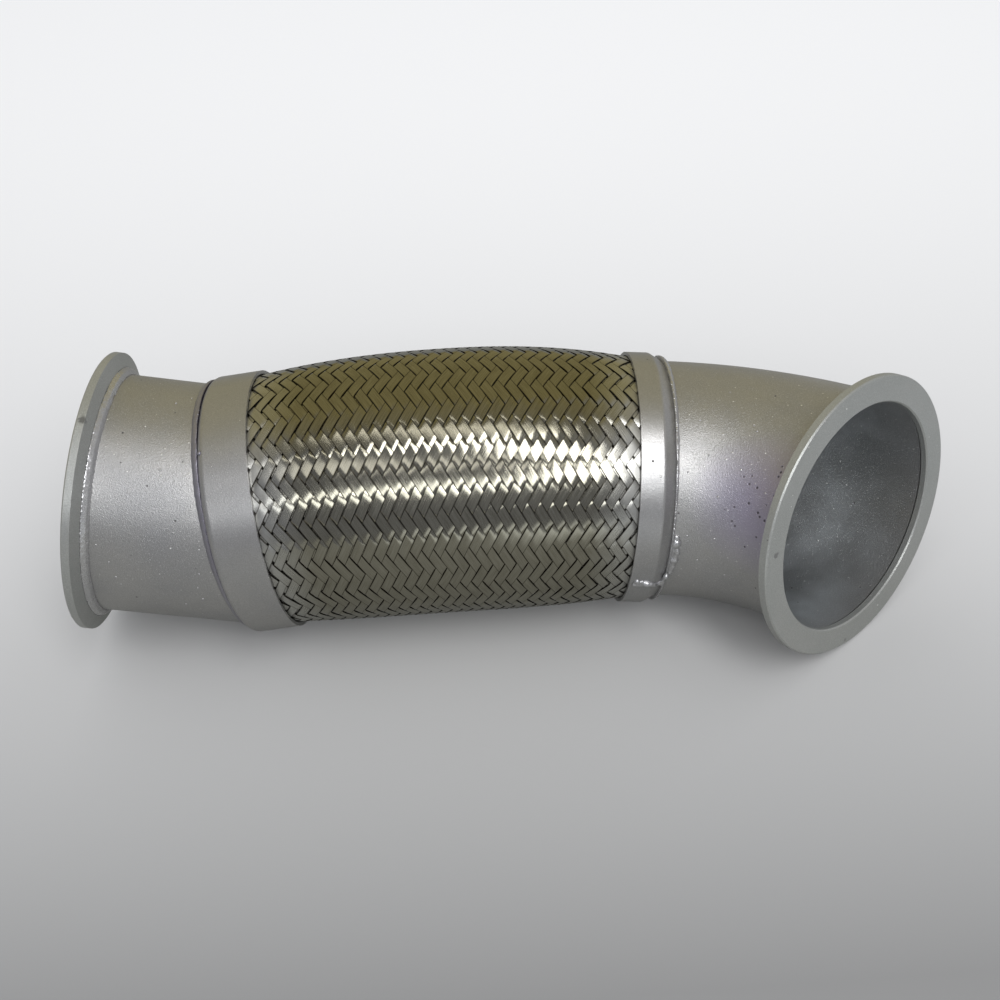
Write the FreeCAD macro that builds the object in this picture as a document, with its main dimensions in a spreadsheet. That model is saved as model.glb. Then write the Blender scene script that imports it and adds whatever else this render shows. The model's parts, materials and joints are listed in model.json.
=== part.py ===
import FreeCAD, Part
import functools
import math
import os
import re

import Sketcher
from FreeCAD import Placement, Rotation, Vector

# Braided exhaust flex pipe, 5 inch nominal, lying on the ground as it comes to rest.
# A bellows inside a braided sleeve joins a short inlet pipe to an outlet elbow. Each pipe
# ends in a flange for a V-band clamp. The sleeve is bent into a slight arch, its convex
# side up, and the elbow turns to the side. All lengths are in millimetres.

SIZES = {
    "tube_od": (127, "outer diameter of the inlet pipe and of the elbow"),
    "tube_wall": (2, "wall of both pipes"),
    "flange_rise": (11, "height of both flanges' rim over the pipe"),
    "flange_rim": (4.3, "width of the flange's outer edge"),
    "flange_hub": (4, "height over the pipe where the flange's sloping back ends"),
    "flange_slope": (2.7, "axial depth of the sloping back that the clamp bears on"),
    "flange_lip": (3.5, "depth of the front lip, in front of the pipe's end"),
    "lip_drop": (0.7, "step from the pipe's bore down to the bore of the front lip"),
    "flange_break": (0.7, "broken edge round the flange's rim and bore"),
    "socket_gap": (1, "groove left between the lip and the pipe's end"),
    "socket_fit": (0.1, "radial clearance of a pipe in its flange"),
    "fillet_leg": (3.8, "leg of the fillet weld on the back of a flange"),
    "fillet_crown": (2.4, "reach of that weld's crown along both of its legs"),
    "inlet_length": (73, "inlet pipe from the collar to the flange's face, along its axis"),
    "inlet_kink": (16.8, "angle between the inlet pipe and its collar"),
    "elbow_radius": (114, "bend radius of the elbow's centre line"),
    "elbow_angle": (52.5, "angle that the elbow turns through"),
    "elbow_clocking": (82.7, "direction of the elbow's turn, from the arch's convex side"),
    "elbow_end": (11, "straight end of the elbow, up to the flange's face"),
    "inlet_collar_rise": (6.5, "height of the inlet collar over the pipe"),
    "inlet_collar_length": (25, "length of the inlet collar"),
    "inlet_shoulder": (3.5, "radius of the inlet collar's rounded shoulder"),
    "outlet_collar_rise": (4.3, "height of the outlet collar over the elbow"),
    "outlet_collar_length": (17.7, "length of the outlet collar"),
    "outlet_shoulder": (2.4, "radius of the outlet collar's rounded shoulder"),
    "collar_wall": (1.8, "wall of both collars"),
    "collar_web": (3, "thickness of the collar's turned-in end"),
    "outlet_taper": (6, "axial length of the outlet collar's tapered end"),
    "outlet_toe": (0.8, "step from that taper's small end down to the elbow"),
    "bead_width": (3, "reach of the weld bead over the collar's end, outside the pipe"),
    "bead_height": (3.6, "reach of that bead along the pipe"),
    "crown_width": (2.25, "thickness of that bead at its crown"),
    "crown_height": (2, "place of the crown along the pipe"),
    "bead_toe": (0.15, "thickness of that bead where it runs out on the pipe"),
    "seam_size": (1.4, "radius of the outlet collar's own lengthways weld bead"),
    "seam_depth": (0.2, "depth to which that bead's middle is sunk in the collar"),
    "seam_inset": (1.5, "distance of that bead from the collar's edge"),
    "seam_angle": (116, "place of that bead round the collar, from the arch's convex side"),
    "flex_length": (183.4, "visible length of the braid, along its centre line"),
    "flex_bend": (11, "angle that the sleeve is bent through"),
    "braid_rise": (8, "height of the braid over the pipe at the middle of its bulge"),
    "braid_wall": (1.8, "thickness of the braid"),
    "braid_bulge": (2.5, "exponent of the braid's bulge: higher is flatter in the middle"),
    "strand_count": (40, "number of flat strands that lean each way"),
    "float_count": (30, "number of crossings along the visible braid in one strand's row"),
    "float_spread": (0.06, "share by which the crossings lie wider apart near the collars"),
    "float_height": (0.9, "height of a strand's back over the valleys of the weave"),
    "float_slope": (0.28, "share of a crossing over which a strand rises to its full height"),
    "pinhole_rows": (3, "number of rows of pinholes next to each collar"),
    "pinhole_count": (20, "number of pinholes in each of these rows"),
    "pinhole_length": (2.6, "length of a pinhole along the sleeve"),
    "pinhole_width": (1.8, "width of a pinhole round the sleeve"),
    "bellows_wall": (0.6, "wall of the bellows"),
    "bellows_cuff": (8, "length of the straight cuff at each end of the folds"),
    "bellows_count": (11, "number of folds in the bellows"),
    "liner_drop": (2.3, "step from the pipe's bore down to the smallest bore of the liner"),
    "liner_wall": (1.6, "wall of the liner"),
    "liner_step": (0.7, "radial step from one turn of the liner's strip to the next"),
    "liner_turns": (11, "number of turns of the liner's strip"),
    "inner_gap": (0.3, "clearance between the pieces inside the sleeve, and at their ends"),
    "rest_lean": (11.9, "lean of the arch towards the back when the pipe lies at rest"),
    "rest_pitch": (0.83, "lift of the outlet end when the pipe lies at rest"),
}

doc = FreeCAD.newDocument("flex_pipe")
sheet = doc.addObject("Spreadsheet::Sheet", "Sizes")
for row, (alias, (value, meaning)) in enumerate(SIZES.items(), start=1):
    sheet.set(f"A{row}", alias)
    sheet.set(f"B{row}", str(value))
    sheet.set(f"C{row}", meaning)
    sheet.setAlias(f"B{row}", alias)
doc.recompute()


@functools.lru_cache(maxsize=None)
def size(expression):
    """Value of a sheet expression such as 'tube_od / 2', with bare alias names."""
    return float(sheet.evalExpression(expression))


def bound(expression):
    """The same expression as other objects of the document write it."""
    return re.sub("[a-z_]+", lambda word: f"Sizes.{word[0]}" if word[0] in SIZES else word[0], expression)


# Radii that several pieces share, as expressions of the sheet

TUBE = "( tube_od / 2 )"
TUBE_BORE = "( tube_od / 2 - tube_wall )"
FLANGE_RIM = "( tube_od / 2 + flange_rise )"
LIP_BORE = "( tube_od / 2 - tube_wall - lip_drop )"
INLET_COLLAR = "( tube_od / 2 + inlet_collar_rise )"
OUTLET_COLLAR = "( tube_od / 2 + outlet_collar_rise )"
INLET_CAVITY = "( tube_od / 2 + inlet_collar_rise - collar_wall )"
OUTLET_CAVITY = "( tube_od / 2 + outlet_collar_rise - collar_wall )"
LINER_BORE = "( tube_od / 2 - tube_wall - liner_drop )"
BELLOWS_ROOT = "( tube_od / 2 - tube_wall - liner_drop + liner_wall + liner_step + inner_gap + bellows_wall )"


# Frames


def axes_frame(origin, x_axis, z_axis):
    """Frame at origin whose Z axis is exact and whose X axis lies nearest x_axis."""
    return Placement(origin, Rotation(x_axis, z_axis.cross(x_axis), z_axis, "ZXY"))


half_bend = math.radians(size("flex_bend / 2"))
arch_radius = size("flex_length") / (2 * half_bend)


@functools.lru_cache(maxsize=None)
def arch_frame(along):
    """Frame on the sleeve's centre line, at a length from its middle.

    Z runs along the centre line towards the outlet and X points to the convex side.
    Past the ends of the arch the line goes on straight, because the collars are straight."""
    bent = max(-size("flex_length") / 2, min(size("flex_length") / 2, along))
    angle = bent / arch_radius
    tangent = Vector(math.cos(angle), 0, -math.sin(angle))
    convex = Vector(math.sin(angle), 0, math.cos(angle))
    rise = arch_radius * (math.cos(angle) - math.cos(half_bend))
    point = Vector(arch_radius * math.sin(angle), 0, rise) + tangent * (along - bent)
    return axes_frame(point, convex, tangent)


def turned(axis, degrees):
    return Placement(Vector(), Rotation(axis, degrees))


def moved(x, y, z):
    return Placement(Vector(x, y, z), Rotation())


X_AXIS = Vector(1, 0, 0)
Y_AXIS = Vector(0, 1, 0)
Z_AXIS = Vector(0, 0, 1)

# Each end frame has its Z axis pointing out of the sleeve, along the collar.
inlet_end = arch_frame(-size("flex_length") / 2) * turned(X_AXIS, 180)
outlet_end = arch_frame(size("flex_length") / 2)
inlet_joint = inlet_end * moved(0, 0, size("inlet_collar_length")) * turned(Y_AXIS, size("inlet_kink"))
inlet_face = inlet_joint * moved(0, 0, size("inlet_length"))
elbow_start = outlet_end * moved(0, 0, size("outlet_collar_length")) * turned(Z_AXIS, size("elbow_clocking"))
elbow_centre = elbow_start * moved(size("elbow_radius"), 0, 0)
elbow_end = elbow_centre * turned(Y_AXIS, size("elbow_angle")) * moved(-size("elbow_radius"), 0, 0)
outlet_face = elbow_end * moved(0, 0, size("elbow_end"))

# Helpers for bodies, sketches and features

ATTACHED = "FlatFace"
SAME_SIZE = 1e-6
SAME_PLACE = 1e-4

# Finished pieces by node name, and the objects whose placement follows a frame.
parts = {}
framed = []


def origin_feature(body, role):
    return next(item for item in body.Origin.OriginFeatures if item.Role == role)


def new_body(node, frame):
    """Body of one piece, modelled in its own frame and placed by that frame."""
    body = doc.addObject("PartDesign::Body", f"{node}_body")
    parts[node] = body
    framed.append((body, frame))
    return body


def new_sketch(body, name, plane, tilt=None):
    """Sketch on one of the body's origin planes, turned about the plane's own Y axis if tilt is given."""
    sketch = body.newObject("Sketcher::SketchObject", name)
    sketch.AttachmentSupport = [(origin_feature(body, plane), "")]
    sketch.MapMode = ATTACHED
    if tilt:
        sketch.AttachmentOffset = turned(Y_AXIS, size(tilt))
        sketch.setExpression("AttachmentOffset.Rotation.Angle", f"{bound(tilt)} * 1 deg")
    return sketch


def add_circle(sketch, diameter, offset=None):
    """Circle of a bound diameter, on the origin or moved along the sketch's X axis."""
    x = size(offset) if offset else 0
    index = sketch.addGeometry(Part.Circle(Vector(x, 0, 0), Z_AXIS, size(diameter) / 2))
    number = sketch.addConstraint(Sketcher.Constraint("Diameter", index, size(diameter)))
    sketch.setExpression(f"Constraints[{number}]", bound(diameter))
    if offset:
        sketch.addConstraint(Sketcher.Constraint("PointOnObject", index, 3, -1))
        number = sketch.addConstraint(Sketcher.Constraint("DistanceX", -1, 1, index, 3, x))
        sketch.setExpression(f"Constraints[{number}]", bound(offset))
    else:
        sketch.addConstraint(Sketcher.Constraint("Coincident", index, 3, -1, 1))


def add_outline(sketch, points):
    """Closed outline of straight edges, each corner given by two bound expressions."""
    corners = [Vector(size(x), size(y), 0) for x, y in points]
    first = sketch.GeometryCount
    last = first + len(corners) - 1
    for start, end in zip(corners, corners[1:] + corners[:1]):
        sketch.addGeometry(Part.LineSegment(start, end))
    for index in range(first, last + 1):
        following = first if index == last else index + 1
        sketch.addConstraint(Sketcher.Constraint("Coincident", index, 2, following, 1))
    for index, ((x, y), corner) in enumerate(zip(points, corners), start=first):
        number = sketch.addConstraint(Sketcher.Constraint("DistanceX", -1, 1, index, 1, corner.x))
        sketch.setExpression(f"Constraints[{number}]", bound(x))
        number = sketch.addConstraint(Sketcher.Constraint("DistanceY", -1, 1, index, 1, corner.y))
        sketch.setExpression(f"Constraints[{number}]", bound(y))


def turned_piece(body, name, points):
    """Solid turned about the body's Z axis from an outline of (radius, height) corners."""
    sketch = new_sketch(body, f"{name}_outline", "XZ_Plane")
    add_outline(sketch, points)
    feature = body.newObject("PartDesign::Revolution", name)
    feature.Profile = sketch
    feature.ReferenceAxis = (origin_feature(body, "Z_Axis"), [""])
    feature.Angle = 360
    return feature


def ring_edges(shape, radius, height):
    """Names of the circular edges round the Z axis at that radius and height."""
    found = []
    for number, edge in enumerate(shape.Edges, start=1):
        curve = edge.Curve
        if isinstance(curve, Part.Circle) and math.isclose(curve.Radius, radius, rel_tol=SAME_SIZE):
            if (curve.Center - Vector(0, 0, height)).Length < SAME_PLACE:
                found.append(f"Edge{number}")
    return found


def round_ring(body, name, feature, radius, height, rounding):
    """Round the circular edge at that radius and height."""
    doc.recompute()
    fillet = body.newObject("PartDesign::Fillet", name)
    fillet.Base = (feature, ring_edges(feature.Shape, size(radius), size(height)))
    fillet.Radius = size(rounding)
    fillet.setExpression("Radius", bound(rounding))
    return fillet


# Flanges

FLANGE_BACK = "flange_rim + flange_slope"
SOCKET = f"{TUBE} + socket_fit"


def make_flange(node, frame):
    """Turned flange: flat face, narrow rim, sloping back, and a socket that the pipe seats in."""
    body = new_body(node, frame)
    turned_piece(
        body,
        f"{node}_turned",
        [
            (LIP_BORE, "-flange_break"),
            (f"{LIP_BORE} + flange_break", "0"),
            (f"{FLANGE_RIM} - flange_break", "0"),
            (FLANGE_RIM, "-flange_break"),
            (FLANGE_RIM, "-flange_rim"),
            (f"{TUBE} + flange_hub", f"-( {FLANGE_BACK} )"),
            (SOCKET, f"-( {FLANGE_BACK} )"),
            (SOCKET, "-flange_lip"),
            (LIP_BORE, "-flange_lip"),
        ],
    )


def make_flange_weld(node, frame):
    """Fillet weld in the corner between the flange's back and the pipe, a little crowned."""
    body = new_body(node, frame)
    turned_piece(
        body,
        f"{node}_turned",
        [
            (TUBE, f"-( {FLANGE_BACK} )"),
            (f"{TUBE} + fillet_leg", f"-( {FLANGE_BACK} )"),
            (f"{TUBE} + fillet_crown", f"-( {FLANGE_BACK} + fillet_crown )"),
            (TUBE, f"-( {FLANGE_BACK} + fillet_leg )"),
        ],
    )


make_flange("inlet_flange", inlet_face)
make_flange("outlet_flange", outlet_face)
make_flange_weld("inlet_flange_weld", inlet_face)
make_flange_weld("outlet_flange_weld", outlet_face)

# Pipes

PIPE_BORE = "tube_od - 2 * tube_wall"
SLANT = "tube_od * tan( inlet_kink )"
SOCKET_DEPTH = "( flange_lip + socket_gap )"


def make_inlet_pipe():
    """Straight pipe, cut square in the flange and cut slanting where it meets its collar."""
    body = new_body("inlet_pipe", inlet_joint)
    section = new_sketch(body, "inlet_pipe_section", "XY_Plane")
    add_circle(section, "tube_od")
    add_circle(section, PIPE_BORE)
    wall = body.newObject("PartDesign::Pad", "inlet_pipe_wall")
    wall.Profile = section
    wall.SideType = "Two sides"
    wall.setExpression("Length", bound(f"inlet_length - {SOCKET_DEPTH}"))
    wall.setExpression("Length2", bound(SLANT))
    slant = new_sketch(body, "inlet_pipe_slant", "XZ_Plane")
    edge = [("-tube_od", f"-{SLANT}"), ("tube_od", SLANT)]
    add_outline(slant, [*edge, ("tube_od", "-tube_od"), ("-tube_od", "-tube_od")])
    cut = body.newObject("PartDesign::Pocket", "inlet_pipe_slant_cut")
    cut.Profile = slant
    cut.SideType = "Symmetric"
    cut.setExpression("Length", bound("2 * tube_od"))


def make_outlet_elbow():
    """Pressed elbow, turned about the bend's centre, with a short straight end in the flange."""
    body = new_body("outlet_elbow", elbow_centre)
    section = new_sketch(body, "elbow_section", "XY_Plane")
    add_circle(section, "tube_od", "-elbow_radius")
    add_circle(section, PIPE_BORE, "-elbow_radius")
    bend = body.newObject("PartDesign::Revolution", "elbow_bend")
    bend.Profile = section
    bend.ReferenceAxis = (origin_feature(body, "Y_Axis"), [""])
    bend.setExpression("Angle", bound("elbow_angle"))
    end_section = new_sketch(body, "elbow_end_section", "XY_Plane", "elbow_angle")
    add_circle(end_section, "tube_od", "-elbow_radius")
    add_circle(end_section, PIPE_BORE, "-elbow_radius")
    end = body.newObject("PartDesign::Pad", "elbow_end")
    end.Profile = end_section
    end.setExpression("Length", bound(f"elbow_end - {SOCKET_DEPTH}"))


make_inlet_pipe()
make_outlet_elbow()

# Collars: each one clamps the ends of the braid, the bellows and the liner

INLET_DEPTH = "( inlet_collar_length - collar_web )"
OUTLET_DEPTH = "( outlet_collar_length - outlet_taper )"


def make_inlet_collar():
    """Cap with a rounded shoulder and a flat web that the inlet pipe is welded to."""
    body = new_body("inlet_collar", inlet_end)
    cap = turned_piece(
        body,
        "inlet_collar_cap",
        [
            (INLET_CAVITY, "0"),
            (INLET_COLLAR, "0"),
            (INLET_COLLAR, "inlet_collar_length"),
            (TUBE_BORE, "inlet_collar_length"),
            (TUBE_BORE, INLET_DEPTH),
            (INLET_CAVITY, INLET_DEPTH),
        ],
    )
    round_ring(body, "inlet_collar_shoulder", cap, INLET_COLLAR, "inlet_collar_length", "inlet_shoulder")


def make_outlet_collar():
    """Cap that tapers down to the elbow it is welded to."""
    body = new_body("outlet_collar", outlet_end)
    cap = turned_piece(
        body,
        "outlet_collar_cap",
        [
            (OUTLET_CAVITY, "0"),
            (OUTLET_COLLAR, "0"),
            (OUTLET_COLLAR, OUTLET_DEPTH),
            (f"{TUBE} + outlet_toe", "outlet_collar_length"),
            (TUBE_BORE, "outlet_collar_length"),
            (TUBE_BORE, OUTLET_DEPTH),
            (OUTLET_CAVITY, OUTLET_DEPTH),
        ],
    )
    round_ring(body, "outlet_collar_shoulder", cap, OUTLET_COLLAR, OUTLET_DEPTH, "outlet_shoulder")


make_inlet_collar()
make_outlet_collar()

# Weld beads between collar and pipe, and along the outlet collar's own joint

# Height along the pipe and reach outside it, from the collar's end to the bead's toe.
BEAD_SECTION = (("0", "bead_width"), ("crown_height", "crown_width"), ("bead_height", "bead_toe"))


def add_solid(name, rings, frame):
    """Solid through closed wires, in the frame that it is modelled in."""
    solid = doc.addObject("Part::Feature", name)
    solid.Shape = Part.makeLoft(rings, True, True)
    framed.append((solid, frame))
    return solid


def leaning_ring(height, reach):
    """Outline round the inlet pipe, in a plane square to the collar: an ellipse, as the pipe leans."""
    centre = Vector(size(f"{height} * tan( inlet_kink )"), 0, size(height))
    across = Vector(size(f"{TUBE} / cos( inlet_kink ) + {reach}"), 0, 0)
    along = Vector(0, size(f"{TUBE} + {reach}"), 0)
    return Part.Wire(Part.Ellipse(centre + across, centre + along, centre).toShape())


def elbow_ring(height, reach):
    """Circle round the elbow, at a length from its start, in the elbow's start frame."""
    angle = math.degrees(size(height) / size("elbow_radius"))
    bend = moved(size("elbow_radius"), 0, 0) * turned(Y_AXIS, angle) * moved(-size("elbow_radius"), 0, 0)
    circle = Part.Circle(bend.Base, bend.Rotation.multVec(Z_AXIS), size(f"{TUBE} + {reach}"))
    return Part.Wire(circle.toShape())


def cut_piece(node, base, tool):
    """Piece that fills what the base takes up outside the tool, so it seats on it."""
    piece = doc.addObject("Part::Cut", f"{node}_cut")
    piece.Base = base
    piece.Tool = tool
    parts[node] = piece


def add_inlet_pipe_weld():
    """Crowned ring of weld on the collar's end, which leans with the pipe."""
    frame = inlet_end * moved(0, 0, size("inlet_collar_length"))
    rings = [leaning_ring(height, reach) for height, reach in BEAD_SECTION]
    bead = add_solid("inlet_bead", rings, frame)
    core = doc.addObject("Part::Cylinder", "inlet_pipe_core")
    core.setExpression("Radius", bound(TUBE))
    core.setExpression("Height", bound("2 * tube_od"))
    framed.append((core, inlet_joint * moved(0, 0, -size("tube_od"))))
    cut_piece("inlet_pipe_weld", bead, core)


def add_outlet_pipe_weld():
    """Crowned ring of weld on the outlet collar's end, which follows the elbow."""
    rings = [elbow_ring(height, reach) for height, reach in BEAD_SECTION]
    bead = add_solid("outlet_bead", rings, elbow_start)
    core = add_solid("elbow_core", [elbow_ring(height, "0") for height, _ in BEAD_SECTION], elbow_start)
    cut_piece("outlet_pipe_weld", bead, core)


add_inlet_pipe_weld()
add_outlet_pipe_weld()


def add_seam():
    """Long low bead where the outlet collar's strip was joined."""
    bar = doc.addObject("Part::Cylinder", "seam_bar")
    bar.setExpression("Radius", bound("seam_size"))
    bar.setExpression("Height", bound(f"{OUTLET_DEPTH} - seam_inset"))
    sunk = size(f"{OUTLET_COLLAR} - seam_depth")
    framed.append((bar, outlet_end * turned(Z_AXIS, size("seam_angle")) * moved(sunk, 0, size("seam_inset"))))
    cut_piece("outlet_collar_seam", bar, parts["outlet_collar"])


add_seam()

# Pieces of the sleeve, which follow the arch and run on straight into the collars


def braid_radius(along):
    """Outer radius of the braid: it bulges in the middle and is clamped at both ends."""
    half = size("flex_length / 2")
    clamped = size(f"{INLET_CAVITY} - inner_gap") if along < 0 else size(f"{OUTLET_CAVITY} - inner_gap")
    bulge = size(f"{TUBE} + braid_rise") - clamped
    return clamped + bulge * (1 - min(abs(along) / half, 1) ** size("braid_bulge"))


sleeve_start = -size(f"flex_length / 2 + {INLET_DEPTH} - inner_gap")
sleeve_end = size(f"flex_length / 2 + {OUTLET_DEPTH} - inner_gap")


def ring_wire(along, radius):
    frame = arch_frame(along)
    return Part.Wire(Part.Circle(frame.Base, frame.Rotation.multVec(Z_AXIS), radius).toShape())


def sleeve_solid(stations):
    """Solid through circles, each given by its length along the centre line and its radius."""
    return Part.makeLoft([ring_wire(along, radius) for along, radius in stations], True, True)


def add_sleeve_piece(node, shape):
    piece = doc.addObject("Part::Feature", f"{node}_wall")
    piece.Shape = shape
    framed.append((piece, Placement()))
    parts[node] = piece


# Braid: strands lean both ways, and each runs over two others and then under two. A point of
# the weave has a band, counted round the sleeve, and a row, counted along it from the inlet.
# From one crossing to the next, a strand goes on by half a band and half a row.

BANDS = int(size("strand_count"))
ROWS = int(size("float_count"))
FIRST_ROW = -0.5
LAST_ROW = ROWS + 0.5
STEPS_OF_BORE = 12


def row_along(row):
    """Length along the centre line at a row; rows lie wider apart near the collars."""
    share = 2 * row / ROWS - 1
    spread = size("float_spread")
    return size("flex_length / 2") * share * (1 + spread * share ** 2) / (1 + spread)


def sleeve_point(along, band, radius):
    frame = arch_frame(along)
    turn = -2 * math.pi * band / BANDS
    return frame.multVec(Vector(radius * math.cos(turn), radius * math.sin(turn), 0))


def woven_point(band, row, raised=0):
    """Point in a valley of the weave, or raised from it to a strand's back."""
    along = row_along(row)
    return sleeve_point(along, band, braid_radius(along) - size("float_height") + raised)


def float_facets(band, row, lean):
    """Facets of a strand where it lies over two others: a ridge, with a slope at each end and side."""

    def spot(ahead, aside, raised=0):
        return woven_point(band + (ahead + aside) / 2, row + lean * (ahead - aside) / 2, raised)

    slope = size("float_slope")
    height = size("float_height")
    start, middle, end = -0.5, 0.5, 1.5
    near = spot(start + slope, 0, height)
    far = spot(end - slope, 0, height)
    facets = [(spot(start, -0.5), spot(start, 0.5), near), (spot(end, -0.5), spot(end, 0.5), far)]
    for side in (-0.5, 0.5):
        facets.append((spot(start, side), spot(middle, side), near))
        facets.append((spot(middle, side), spot(end, side), far))
        facets.append((spot(middle, side), near, far))
    return facets


def half_crossing(band, row, lean):
    """Flat facet on one side of a crossing, under a collar."""
    return woven_point(band - 0.5, row), woven_point(band + 0.5, row), woven_point(band, row + lean / 2)


def weave_facets():
    """Facets of the whole weave; a strand that the first or the last row cuts off lies flat."""
    facets = []
    for band in range(BANDS):
        facets.append(half_crossing(band + 0.5, FIRST_ROW, 1))
        facets.append(half_crossing(band + 0.5, LAST_ROW, -1))
        lean = 1 if band % 2 == 0 else -1
        for row in range(ROWS + 1):
            if FIRST_ROW < row + lean / 2 < LAST_ROW:
                facets.extend(float_facets(band, row, lean))
            else:
                facets.append(half_crossing(band, row, 1))
                facets.append(half_crossing(band, row, -1))
    return facets


def band_facets(first, second):
    """Facets between two rings, each given by its length along the centre line and its radius."""
    (along, radius), (other_along, other_radius) = first, second
    facets = []
    for band in range(BANDS):
        near = sleeve_point(along, band, radius)
        far = sleeve_point(other_along, band + 1, other_radius)
        facets.append((near, sleeve_point(along, band + 1, radius), far))
        facets.append((near, far, sleeve_point(other_along, band, other_radius)))
    return facets


def bore_radius(along):
    """Radius at the corners of the braid's bore, whose flats keep clear of the bellows."""
    return (braid_radius(along) - size("braid_wall")) / math.cos(math.pi / BANDS)


def braid_solid():
    """Woven outside, cuffs that are clamped in the collars, and a bore of flat facets."""
    half = size("flex_length / 2")
    bore = [half * (2 * step / STEPS_OF_BORE - 1) for step in range(STEPS_OF_BORE + 1)]
    inlet_edge = row_along(FIRST_ROW)
    outlet_edge = row_along(LAST_ROW)
    rings = [(inlet_edge, braid_radius(inlet_edge) - size("float_height"))]
    rings.append((sleeve_start, braid_radius(sleeve_start)))
    rings.extend((along, bore_radius(along)) for along in [sleeve_start, *bore, sleeve_end])
    rings.append((sleeve_end, braid_radius(sleeve_end)))
    rings.append((outlet_edge, braid_radius(outlet_edge) - size("float_height")))
    facets = weave_facets()
    for ring, following in zip(rings, rings[1:]):
        facets.extend(band_facets(ring, following))
    shell = Part.makeShell([Part.Face(Part.makePolygon([*corners, corners[0]])) for corners in facets])
    shell.sewShape()
    solid = Part.Solid(shell)
    if solid.Volume < 0:
        solid.reverse()
    return solid


def pinhole(band, row):
    """Diamond through the wall, where four strands leave a gap between them."""
    along = row_along(row)
    middle = sleeve_point(along, band, braid_radius(along) - size("2 * braid_wall"))
    through = sleeve_point(along, band, braid_radius(along) + size("braid_wall")) - middle
    lengthways = arch_frame(along).Rotation.multVec(Z_AXIS) * size("pinhole_length / 2")
    sideways = through.cross(lengthways).normalize() * size("pinhole_width / 2")
    corners = [middle + lengthways, middle + sideways, middle - lengthways, middle - sideways]
    return Part.Face(Part.makePolygon([*corners, corners[0]])).extrude(through)


def all_pinholes():
    """Pinholes in the rows next to the collars, where the braid is pulled apart."""
    pinholes = []
    count = int(size("pinhole_count"))
    for number in range(1, int(size("pinhole_rows")) + 1):
        for index in range(count):
            band = BANDS * index / count + 0.5 + number % 2
            pinholes.append(pinhole(band, number))
            pinholes.append(pinhole(band, ROWS - number))
    return pinholes


# Bellows and liner


def bellows_stations(inset):
    """Folds between two cuffs; each crest reaches up to the braid, each root keeps one radius."""
    margin = size("braid_wall + inner_gap")
    first = -size("flex_length / 2 - bellows_cuff")
    last = size("flex_length / 2 - bellows_cuff")
    count = int(size("bellows_count"))
    fold = (last - first) / count
    root = size(BELLOWS_ROOT)
    stations = [(sleeve_start, braid_radius(sleeve_start) - margin)]
    stations.append((-size("flex_length / 2"), braid_radius(sleeve_start) - margin))
    for index in range(count):
        stations.append((first + index * fold, root))
        crest = first + (index + 0.5) * fold
        stations.append((crest, braid_radius(crest) - margin))
    stations.append((last, root))
    stations.append((size("flex_length / 2"), braid_radius(sleeve_end) - margin))
    stations.append((sleeve_end, braid_radius(sleeve_end) - margin))
    return [(along, radius - inset) for along, radius in stations]


def liner_stations(outset):
    """Overlapping turns of strip: each turn is a little wider at one edge than at the other."""
    turns = int(size("liner_turns"))
    turn = (sleeve_end - sleeve_start) / turns
    narrow = size(LINER_BORE) + outset
    wide = narrow + size("liner_step")
    lip = size("liner_wall")
    stations = []
    for index in range(turns):
        stations.append((sleeve_start + index * turn, narrow))
        stations.append((sleeve_start + (index + 1) * turn - lip, wide))
    stations.append((sleeve_end, narrow))
    return stations


add_sleeve_piece("braid", braid_solid().cut(all_pinholes()).Solids[0])
bellows = sleeve_solid(bellows_stations(0)).cut(sleeve_solid(bellows_stations(size("bellows_wall"))))
add_sleeve_piece("bellows", bellows)
liner = sleeve_solid(liner_stations(size("liner_wall"))).cut(sleeve_solid(liner_stations(0)))
add_sleeve_piece("inner_liner", liner)

# Resting place: tilted so that both collars and the outlet flange touch the ground,
# and moved so that the origin is under the middle of the whole pipe, at ground level.


def place_all(base):
    for item, frame in framed:
        item.Placement = base * frame
    doc.recompute()


resting = turned(Y_AXIS, size("rest_pitch")) * turned(X_AXIS, -size("rest_lean"))
place_all(resting)
box = FreeCAD.BoundBox()
for piece in parts.values():
    box.add(piece.Shape.optimalBoundingBox(False, False))
base = moved(-box.Center.x, -box.Center.y, -box.ZMin) * resting
place_all(base)

# Checks and files

for item in doc.Objects:
    if {"Invalid", "Error"} & set(item.State):
        raise RuntimeError(f"{item.Name} failed: {item.State}")

os.makedirs("parts", exist_ok=True)
for node, piece in parts.items():
    piece.Label = node
    shape = piece.Shape
    if shape.isNull() or not shape.isValid() or len(shape.Solids) != 1:
        raise RuntimeError(f"{node} is not one valid solid")
    shape.exportStep(f"parts/{node}.step")
    print(f"{node}: {shape.Volume / 1000:.1f} cm3")
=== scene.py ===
# %% [markdown]
# A braided exhaust flex pipe, dressed around its construction model.
# The construction model gives every piece its true size and place. This lesson adds what makes
# metal look real: woven strands, hand-made welds, satin paint with spatter and pits, and plain
# studio light. All lengths are in metres, in the construction model's own frame, with Z up.

# %% Load the construction model
import json
import math
import random

import bpy
import numpy as np
from mathutils import Matrix, Vector

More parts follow.
